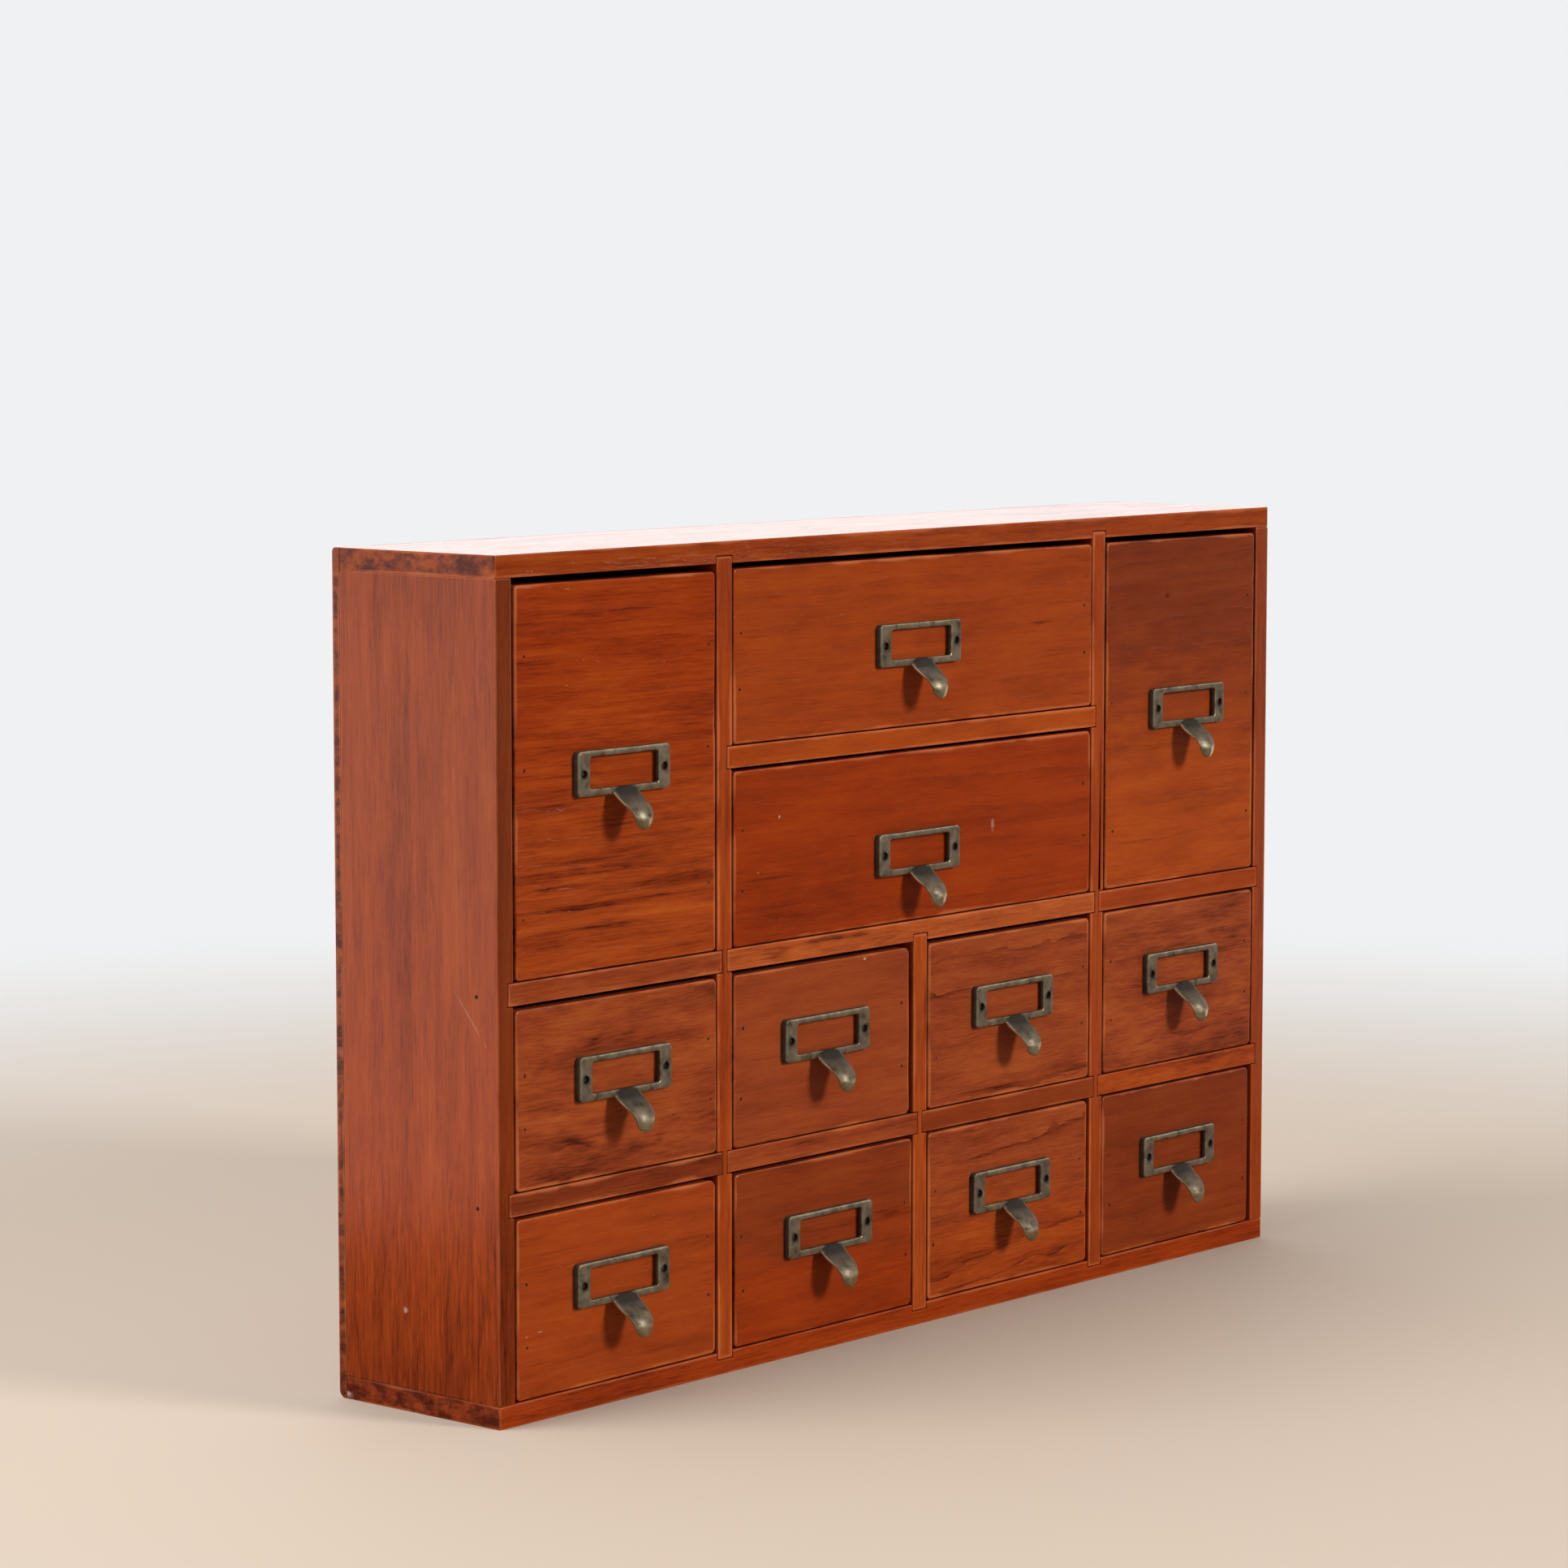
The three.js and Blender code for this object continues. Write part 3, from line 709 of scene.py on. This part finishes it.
# Each drawer front: upper stain, lower stain, figure, corner radii (lower left, lower right, upper right,
# upper left) and marks, with x measured from the middle of the cabinet.
DRAWERS = {
    "left_tall": (RUSSET, SIENNA, "streaky", (2.0, 2.0, 2.2, 2.2), [
        mark("dark", -232, 284, 26, 3, 0.25), mark("light", -205, 292, 56, 9, 0.16),
        mark("dark", -190, 227, 60, 5.0, 0.24), mark("dark", -158, 219, 34, 3.0, 0.32),
        mark("dark", -205, 212, 52, 1.6, 0.30), mark("dark", -200, 197, 60, 1.2, 0.24),
        mark("dark", -222, 231, 40, 2.0, 0.28), mark("dark", -215, 203, 40, 1.0, 0.22),
        mark("light", -235, 236, 34, 3.5, 0.16), mark("light", -170, 206, 44, 3.0, 0.14),
        mark("dark", -185, 247, 48, 0.6, 0.25), mark("dark", -230, 221, 26, 1.5, 0.30),
    ]),
    "left_middle": (CHESTNUT, CHESTNUT, "mottled", (2.2, 2.2, 2.4, 2.0), [
        mark("dark", -222, 113, 17, 4, 0.26, tilt=-28), mark("knot", -172, 109, 4, 3, 0.25),
        mark("light", -240, 122, 14, 5, 0.16), mark("dark", -200, 102, 44, 9, 0.12),
        mark("dark", -212, 156, 9, 2, 0.22, tilt=20), mark("dark", -246, 146, 8, 3, 0.16, tilt=40),
    ]),
    "left_bottom": (SIENNA, SIENNA, "plain", (2.0, 2.4, 3.6, 2.0), [
        mark("pale", -254, 36.5, 0.8, 0.5, 0.6), mark("pale", -246, 37.4, 1.6, 0.4, 0.5),
    ]),
    "wide_top": (SIENNA, SIENNA, "plain", (2.0, 2.0, 2.0, 2.2), [
        mark("dark", 91, 313.5, 10, 0.7, 0.35),
    ]),
    "wide_lower": (RUSSET, RUSSET, "plain", (2.0, 2.2, 2.4, 2.0), [
        mark("pale", 55, 223, 1.3, 3.6, 0.30), mark("pale", -94, 239, 0.7, 0.7, 0.6),
        mark("pale", -108, 216, 0.5, 0.5, 0.4), mark("dark", -85, 203, 80, 20, 0.10),
        mark("dark", -105, 213, 28, 0.8, 0.24), mark("dark", -60, 207, 50, 0.8, 0.18),
        mark("dark", -100, 200, 30, 0.8, 0.22), mark("light", 0, 236, 70, 8, 0.06),
    ]),
    "inner_left_middle": (CHESTNUT, CHESTNUT, "plain", (2.0, 3.0, 3.4, 2.2), [
        mark("pale", -36, 171, 0.9, 0.8, 0.7),
    ]),
    "inner_left_bottom": (MAHOGANY, RUSSET, "plain", (2.0, 2.4, 2.4, 2.2), [
        mark("dark", -16, 54, 16, 3.0, 0.35), mark("dark", -48, 54, 30, 3.2, 0.16),
    ]),
    "inner_right_middle": (CHESTNUT, CHESTNUT, "curly", (2.0, 2.2, 2.2, 2.2), [
        mark("dark", 110, 105, 20, 4.5, 0.32), mark("dark", 60, 101.5, 30, 0.7, 0.25),
    ]),
    "inner_right_bottom": (CHESTNUT, SIENNA, "curly", (2.0, 2.2, 2.6, 2.2), []),
    "right_tall": (UMBER, AMBER, "plain", (2.0, 2.0, 2.0, 2.0), [
        mark("knot", 188, 321, 2.2, 2.0, 0.35), mark("dark", 195, 290, 50, 8, 0.08),
    ]),
    "right_middle": (CHESTNUT, CHESTNUT, "mottled", (2.2, 2.4, 2.2, 2.0), [
        mark("dark", 230, 166, 18, 3, 0.15), mark("dark", 205, 150, 60, 30, 0.06),
    ]),
    "right_bottom": (UMBER, MAHOGANY, "plain", (2.0, 2.4, 2.2, 2.2), []),
}


def chips(draw, count, size):
    """Extra rubbing along an outline of count points: a few short stretches, up to size millimetres."""
    extra = [0.0] * count
    for _ in range(draw.randint(2, 3)):
        middle, half, depth = draw.randrange(count), draw.uniform(1.0, 2.5), draw.uniform(0.3, 1.0) * size
        for i in range(count):
            away = min(abs(i - middle), count - abs(i - middle)) / half
            extra[i] = max(extra[i], depth * max(0.0, 1 - away))
    return extra


def make_front(drawer, seed):
    """A drawer front: a board with rubbed corners, wavering edges and small chips."""
    stain, low_stain, look, radii, marks = DRAWERS[drawer]
    node = "drawer_front_" + drawer
    low, high = (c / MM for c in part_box(node))
    draw = random.Random(seed)
    outline = rectangle_outline((low.x, low.z), (high.x, high.z), radii, spacing=2.2)
    count = len(outline)
    wobble = [noise.noise(Vector((p[0] / 31, p[1] / 31, seed * 3.1))) * 0.16 + 0.16 for p, _ in outline]
    nicks = chips(draw, count, 0.55)
    rub = [FRONT_ROUNDING * (0.8 + 0.5 * noise.noise(Vector((p[0] / 24, p[1] / 24, seed * 5.7))))
           + nick for (p, _), nick in zip(outline, nicks)]
    rings = [inset_ring(outline, [w + 0.9 for w in wobble], high.y)]
    for inset, depth in ((0.5, 0.0), (0.15, 0.15), (0.0, 0.5)):
        rings.append(inset_ring(outline, [w + inset for w in wobble], high.y - depth))
    middle_y = (low.y + high.y) / 2
    rings.append(inset_ring(outline, list(wobble), middle_y))
    steps = 5
    for step in range(steps + 1):
        angle = math.pi / 2 * step / steps
        ring = []
        for ((px, pz), (ox, oz)), w, r in zip(outline, wobble, rub):
            d = w + r * (1 - math.cos(angle))
            ring.append((px - ox * d, low.y + r * (1 - math.sin(angle)), pz - oz * d))
        rings.append(ring)
    rings.append(inset_ring(outline, [w + r + 0.25 for w, r in zip(wobble, rub)], low.y))
    piece = mesh_object("front_" + drawer, *loft(rings))
    material = wood("front_" + drawer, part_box(node), "X", stain, low_stain, look, seed, marks, worn=1.0)
    dress(piece, material)
    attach(piece, "drawer_" + drawer)
    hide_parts(node)


def make_front_nails(drawer, iron, seed):
    """Nails through the front into the drawer sides: two at each end, or three on a tall front."""
    low, high = (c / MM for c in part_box("drawer_front_" + drawer))
    draw = random.Random(seed)
    tall = high.z - low.z > 100
    shares = (0.17, 0.54, 0.82) if tall else (0.32, 0.66)
    heads = []
    for x in (low.x + 5, high.x - 5):
        for share in shares:
            z = low.z + (high.z - low.z) * share + draw.uniform(-3, 3)
            place = (x + draw.uniform(-1.2, 1.2), low.y, z)
            heads.append(nail_head(*place, draw.uniform(0.55, 0.8), 0.06, ("Y", -1)))
    nails = mesh_object("nails_" + drawer, *merge_parts(heads))
    dress(nails, iron)
    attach(nails, "drawer_" + drawer)


def make_box(drawer, seed):
    """The drawer's two sides, back and bottom, as separate boards."""
    node = "drawer_box_" + drawer
    low, high = (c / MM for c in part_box(node))
    inner_left, inner_right = low.x + BOX_SIDE, high.x - BOX_SIDE
    rear = high.y - BOX_SIDE
    boards = {
        "side_left": ((low.x, low.y, low.z), (inner_left, high.y, high.z), "Y", PALE_WOOD),
        "side_right": ((inner_right, low.y, low.z), (high.x, high.y, high.z), "Y", PALE_WOOD),
        "rear": ((inner_left, rear, low.z), (inner_right, high.y, high.z), "X", PALE_WOOD),
        "base": ((inner_left, low.y, low.z), (inner_right, rear, low.z + BOX_BOTTOM), "X", PLYWOOD),
    }
    for k, (part, (start, end, grain, stain)) in enumerate(boards.items()):
        name = f"box_{part}_{drawer}"
        piece = board_piece(name, start, end)
        corners = (Vector(start) * MM, Vector(end) * MM)
        material = wood(name, corners, grain, stain, look="bare", seed=seed * 10 + k, worn=0.2, varnish=False)
        dress(piece, material)
        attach(piece, "drawer_" + drawer)
        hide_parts(node)


# ---- The label pulls, built round the middle of the plate's back: X across, Y outwards negative, Z up ----


def matched_rectangle(half_x, half_z, rise, radius, divisions=(10, 4)):
    """A rounded rectangle with a fixed number of points on each side, so that rings match one another."""
    points = []
    corners = [(-1, -1, 180), (1, -1, 270), (1, 1, 0), (-1, 1, 90)]
    for k, (sx, sz, start) in enumerate(corners):
        cx, cz = sx * (half_x - radius), sz * (half_z - radius)
        for step in range(6):
            angle = math.radians(start + 90 * step / 5)
            out = (math.cos(angle), math.sin(angle))
            points.append(((cx + radius * out[0], rise + cz + radius * out[1]), out))
        nsx, nsz, _ = corners[(k + 1) % 4]
        end = (nsx * (half_x - radius) + radius * out[0], rise + nsz * (half_z - radius) + radius * out[1])
        begin = points[-1][0]
        parts = divisions[k % 2]
        for step in range(1, parts):
            share = step / parts
            points.append(((begin[0] + (end[0] - begin[0]) * share,
                            begin[1] + (end[1] - begin[1]) * share), out))
    return points


def plate_mesh():
    """The plate as a closed ring round its window, with softened edges and a slot for the card behind."""
    outer = matched_rectangle(*PLATE_HALF, 0.0, PLATE_CORNER)
    window = matched_rectangle(*WINDOW_HALF, WINDOW_RISE, WINDOW_CORNER)
    face = -PLATE_THICKNESS
    edge, lip = 0.9, 0.55
    rings = [inset_ring(outer, 0.0, 0.0), inset_ring(outer, 0.0, face + edge)]
    for step in range(1, 6):
        angle = math.pi / 2 * step / 5
        rings.append(inset_ring(outer, edge * (1 - math.cos(angle)), face + edge * (1 - math.sin(angle))))
    rings.append(inset_ring(outer, edge + 0.3, face - 0.03))
    rings.append(inset_ring(window, -lip - 0.3, face - 0.03))
    for step in range(5):
        angle = math.pi / 2 * step / 4
        rings.append(inset_ring(window, -lip * (1 - math.sin(angle)), face + lip * (1 - math.cos(angle))))
    rings.append(inset_ring(window, 0.0, -1.0))
    rings.append(inset_ring(window, -1.4, -0.95))
    rings.append(inset_ring(window, -1.4, 0.0))
    return loft(rings, closed=True)


def curve_through(points, steps):
    """A Catmull-Rom curve through (x, y) points, with so many steps between each two."""
    padded = [points[0]] + list(points) + [points[-1]]
    curve = []
    for a, b, c, d in zip(padded, padded[1:], padded[2:], padded[3:]):
        for step in range(steps):
            t = step / steps
            curve.append(tuple(
                0.5 * (2 * q + (r - p) * t + (2 * p - 5 * q + 4 * r - s) * t * t
                       + (3 * q - p - 3 * r + s) * t ** 3)
                for p, q, r, s in zip(a, b, c, d)
            ))
    curve.append(points[-1])
    return curve


# Stations from the plate to where the round tip begins: distance out of the drawer front and height of
# the crown, then of the side edge, then half the width.
TONGUE = [
    (1.2, -6.9, 1.2, -8.5, 7.8),
    (3.0, -6.9, 3.0, -8.7, 7.8),
    (6.3, -9.6, 5.4, -10.9, 7.7),
    (9.6, -12.0, 8.4, -13.1, 7.4),
    (12.9, -14.3, 11.2, -15.3, 6.8),
    (14.9, -17.0, 12.9, -17.5, 6.1),
    (15.4, -19.2, 13.5, -19.4, 5.6),
]
TIP_RADIUS = 5.3
TIP_START = -19.4
TIP_END = -24.1


def tongue_mesh():
    """The curled tongue: a solid lip, crowned across, that narrows and turns down to a round tip."""
    stations = curve_through(TONGUE, 3)
    out_crown, _, out_edge, _, _ = stations[-1]
    for degrees in (12, 26, 40, 53, 66, 77, 85):
        angle = math.radians(degrees)
        fall = math.sin(angle)
        up = TIP_START + (TIP_END - TIP_START) * fall
        crown = (out_crown + 0.15 * fall - 0.9 * fall ** 3, up + 0.2 * math.cos(angle))
        stations.append((*crown, out_edge + 0.2 * fall, up, TIP_RADIUS * math.cos(angle)))
    rings = []
    across_steps = 14
    rim = 0.3
    for k, (oc, uc, oe, ue, half) in enumerate(stations):
        before, after = stations[max(0, k - 1)], stations[min(len(stations) - 1, k + 1)]
        tangent = Vector((after[0] - before[0], after[1] - before[1])).normalized()
        normal = Vector((-tangent.y, tangent.x))
        thick = 0.5 + 0.6 * min(1.0, half / 5)
        upper, lower = [], []
        for step in range(across_steps + 1):
            side = -1 + 2 * step / across_steps
            x = math.sin(side * math.pi / 2) * half
            height = 1 - abs(x / half) ** 2.2
            out = oe + (oc - oe) * height
            up = ue + (uc - ue) * height
            upper.append((x, -(out + normal.x * rim), up + normal.y * rim))
            drop = rim + thick * height
            low_out, low_up = oe + (oc - oe) * height * 0.7, ue + (uc - ue) * height * 0.7
            lower.append((x * 0.985, -(low_out - normal.x * drop), low_up - normal.y * drop))
        rings.append(upper + lower[::-1])
    return loft(rings)


def tongue_half(z):
    """Half the tongue's width at a height."""
    if z < TIP_START:
        fall = min(1.0, (TIP_START - z) / (TIP_START - TIP_END))
        return TIP_RADIUS * math.sqrt(1 - fall * fall)
    for upper, lower in zip(TONGUE, TONGUE[1:]):
        if z > lower[3]:
            share = (upper[3] - z) / max(0.1, upper[3] - lower[3])
            return upper[4] + (lower[4] - upper[4]) * max(0.0, share)
    return TIP_RADIUS


def pin_hole(x):
    """A tool that cuts a round hole, slightly countersunk, through the plate."""
    rings = []
    for radius, y in ((PIN_HOLE_RADIUS, 1.0), (PIN_HOLE_RADIUS, 0.5 - PLATE_THICKNESS),
                      (PIN_HOLE_RADIUS + 0.3, -0.05 - PLATE_THICKNESS), (PIN_HOLE_RADIUS + 0.35, -4.5)):
        ring = []
        for k in range(20):
            angle = 2 * math.pi * k / 20
            ring.append((x + radius * math.cos(angle), y, radius * math.sin(angle)))
        rings.append(ring)
    return loft(rings)


def make_pull_model():
    """The whole pull at the origin."""
    model = mesh_object("pull_model", *plate_mesh())
    tongue = mesh_object("tongue_model", *tongue_mesh())
    for piece in (model, tongue):
        make_normals_point_out(piece)
    combine(model, tongue, "UNION")
    for x in (-PIN_SPACING / 2, PIN_SPACING / 2):
        tool = mesh_object("hole_tool", *pin_hole(x))
        make_normals_point_out(tool)
        combine(model, tool, "DIFFERENCE")
    return model


def make_normals_point_out(piece):
    work = bmesh.new()
    work.from_mesh(piece.data)
    bmesh.ops.recalc_face_normals(work, faces=work.faces)
    work.to_mesh(piece.data)
    work.free()


def wear_and_painted_light(x, out, z):
    """How rubbed the pull is at a point, with a painted highlight on the tongue's tip and side edges, and how
    much painted shade it gets, each from 0 to 1.
    """
    (hx, hz), (wx, wz) = PLATE_HALF, WINDOW_HALF
    rub, painted_shade = 0.0, 0.0
    # the root of the tongue under the window, where it gets painted shade
    in_hump = max(0.0, min(1.0, (7.3 - abs(x)) / 0.8)) * max(0.0, min(1.0, (z + 14.0) / 4.5))
    if out <= PLATE_THICKNESS + 0.15:
        rim = min(hx - abs(x), hz - abs(z))
        rub = max(0.0, 1 - rim / 0.9) * max(0.0, min(1.0, (out - 2.2) / 0.5))
        lip = max(abs(x) - wx, abs(z - WINDOW_RISE) - wz)
        if 0 <= lip < 0.8 and out > 2.6:
            rub = max(rub, 0.6 * (1 - lip / 0.8))
        # painted shade on the plate's sides, deeper towards the drawer front
        if out < 2.7:
            painted_shade = min(0.9, 2.7 - out)
        # painted shade in and round the pin holes
        pin = math.hypot(abs(x) - PIN_SPACING / 2, z)
        if pin < 2.3:
            painted_shade = max(painted_shade, min(1.0, (2.3 - pin) / 0.6))
        # painted shade on the lower bar above the tongue's root
        if z < WINDOW_RISE - wz + 0.4 and out > 1.5:
            painted_shade = max(painted_shade, 0.95 * in_hump)
    else:
        side = tongue_half(z) - abs(x)
        # wear, and a painted highlight: brighter towards the tongue's tip and along its side edges
        rub = 0.05 + 0.75 * max(0.0, min(1.0, (-16.0 - z) / 4.0))
        rub = max(rub, min(1.0, max(0.0, 1.6 - side / 0.6)))
        # painted shade on the tongue's root, fading out at its side edges
        painted_shade = 0.95 * in_hump * min(1.0, max(0.0, side / 1.0))
    return rub, painted_shade


def make_pull(drawer, model, seed):
    """One pull: the model, moved to its drawer and made slightly uneven, as cast and filed by hand."""
    node = "label_pull_" + drawer
    low, high = (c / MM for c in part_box(node))
    centre = Vector(((low.x + high.x) / 2, high.y, high.z - PLATE_HALF[1]))
    mesh = model.data.copy()
    mesh.name = "pull_" + drawer
    # rub: wear, with a painted highlight on the tongue's tip and side edges
    rub = mesh.attributes.new("rub", "FLOAT", "POINT")
    # painted shade, stored per point beside rub
    painted_shade = mesh.attributes.new("painted_shade", "FLOAT", "POINT")
    for index, vertex in enumerate(mesh.vertices):
        x, y, z = vertex.co / MM
        rub.data[index].value, painted_shade.data[index].value = wear_and_painted_light(x, -y, z)
        place = vertex.co / MM + centre
        if y < -0.4:
            uneven = noise.noise_vector(place / 7.0) * 0.14
            vertex.co += Vector((uneven.x, 0.0, uneven.z)) * MM
        vertex.co += centre * MM
    mesh.shade_smooth()
    pull = bpy.data.objects.new("pull_" + drawer, mesh)
    bpy.context.scene.collection.objects.link(pull)
    mesh.set_sharp_from_angle(angle=math.radians(50))
    dress(pull, aged_brass("brass_" + drawer, seed))
    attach(pull, "drawer_" + drawer)
    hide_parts(node)
    return centre


def make_pins(drawer, centre, material):
    """The two small dark pins that hold a pull, sunk in its holes."""
    heads = []
    for x in (-PIN_SPACING / 2, PIN_SPACING / 2):
        rings = []
        for radius, out in ((0.8, 0.3), (0.8, 1.0), (1.3, 1.1), (1.3, 1.6), (1.1, 1.9), (0.6, 2.0)):
            ring = []
            for k in range(14):
                angle = 2 * math.pi * k / 14
                up = radius * math.sin(angle)
                ring.append((centre.x + x + radius * math.cos(angle), centre.y - out, centre.z + up))
            rings.append(ring)
        heads.append(loft(rings))
    pins = mesh_object("pins_" + drawer, *merge_parts(heads))
    dress(pins, material)
    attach(pins, "drawer_" + drawer)


# ---- The stage ----


def disc(name, radius, height):
    sides = 96
    ring = []
    for k in range(sides):
        angle = 2 * math.pi * k / sides
        ring.append((radius * math.cos(angle), radius * math.sin(angle), height))
    return mesh_object(name, ring, [tuple(range(sides))])


def make_floor():
    """The floor, and just under it a dark disc that only reflections see."""
    floor = disc("floor", FLOOR_FADE[1] + 100.0, 0.0)
    dress(floor, floor_material())
    floor.visible_glossy = False
    table = disc("mirrored_table", TABLE_RADIUS, -1.0)
    dress(table, table_material())
    table.visible_camera = False
    table.visible_diffuse = False
    table.visible_shadow = False


def make_world():
    """A pale backdrop for the camera, a soft room for light, and for reflections a room bright behind."""
    world = bpy.data.worlds.new("studio")
    bpy.context.scene.world = world
    world.use_nodes = True
    nodes, links = world.node_tree.nodes, world.node_tree.links
    nodes.clear()
    direction = nodes.new("ShaderNodeTexCoord")

    def gradient(towards, start, end, low, high):
        """A brightness that goes from low to high as the direction turns from away to towards."""
        facing = nodes.new("ShaderNodeVectorMath")
        facing.operation = "DOT_PRODUCT"
        facing.inputs[1].default_value = Vector(towards).normalized()
        links.new(direction.outputs["Generated"], facing.inputs[0])
        made = nodes.new("ShaderNodeMapRange")
        for key, value in (("From Min", start), ("From Max", end), ("To Min", low), ("To Max", high)):
            made.inputs[key].default_value = value
        links.new(facing.outputs["Value"], made.inputs["Value"])
        return made.outputs[0]

    def choose(test, otherwise, chosen):
        """One colour where the ray passes a test, and another elsewhere."""
        made = nodes.new("ShaderNodeMix")
        made.data_type = "RGBA"
        links.new(rays.outputs[test], made.inputs[0])
        links.new(otherwise, made.inputs[6])
        if isinstance(chosen, tuple):
            made.inputs[7].default_value = chosen
        else:
            links.new(chosen, made.inputs[7])
        return made.outputs[2]

    rays = nodes.new("ShaderNodeLightPath")
    room = gradient((-0.35, 0.85, 0.35), -0.4, 0.7, 0.14, 1.1)
    mirrored = gradient((0.4, 0.9, 0.15), -0.25, 0.95, 0.012, 1.6)
    lit = choose("Is Glossy Ray", room, mirrored)
    seen = choose("Is Camera Ray", lit, (*BACKGROUND, 1))
    shine = nodes.new("ShaderNodeBackground")
    links.new(seen, shine.inputs["Color"])
    output = nodes.new("ShaderNodeOutputWorld")
    links.new(shine.outputs[0], output.inputs["Surface"])


def make_light(name, direction, distance, size, power, colour=(1, 1, 1)):
    """A square soft light that looks at the middle of the cabinet."""
    lamp = bpy.data.lights.new(name, "AREA")
    lamp.shape = "SQUARE"
    lamp.size = size
    lamp.energy = power
    lamp.color = colour
    light = bpy.data.objects.new(name, lamp)
    bpy.context.scene.collection.objects.link(light)
    middle = Vector((0.0, 0.0, 0.18))
    away = direction.normalized()
    light.location = middle + away * distance
    light.rotation_mode = "QUATERNION"
    light.rotation_quaternion = away.to_track_quat("Z", "Y")
    return light


def make_camera():
    data = bpy.data.cameras.new("camera")
    data.lens = CAMERA_LENS
    data.sensor_width = 36.0
    data.clip_start = 0.05
    data.clip_end = 60.0
    camera = bpy.data.objects.new("camera", data)
    camera.location = CAMERA_PLACE
    camera.rotation_euler = (math.radians(90 - CAMERA_PITCH), 0.0, math.radians(-CAMERA_YAW))
    bpy.context.scene.collection.objects.link(camera)
    bpy.context.scene.camera = camera


# ---- The scene ----

make_camera()
make_world()
make_light("key", KEY_DIRECTION, KEY_DISTANCE, KEY_SIZE, KEY_POWER, (1.0, 0.97, 0.93))
window = make_light("left_window", WINDOW_DIRECTION, WINDOW_DISTANCE, WINDOW_SIZE, WINDOW_POWER)
window.visible_glossy = False
make_floor()

iron = dark_iron()
make_case()
make_case_nails(iron)
pull_model = make_pull_model()
for number, drawer in enumerate(DRAWERS, start=1):
    make_front(drawer, 100 + number)
    make_front_nails(drawer, iron, 200 + number)
    make_box(drawer, 300 + number)
    pull_centre = make_pull(drawer, pull_model, number)
    make_pins(drawer, pull_centre, iron)
bpy.data.objects.remove(pull_model)

bpy.context.scene.view_settings.view_transform = "Standard"
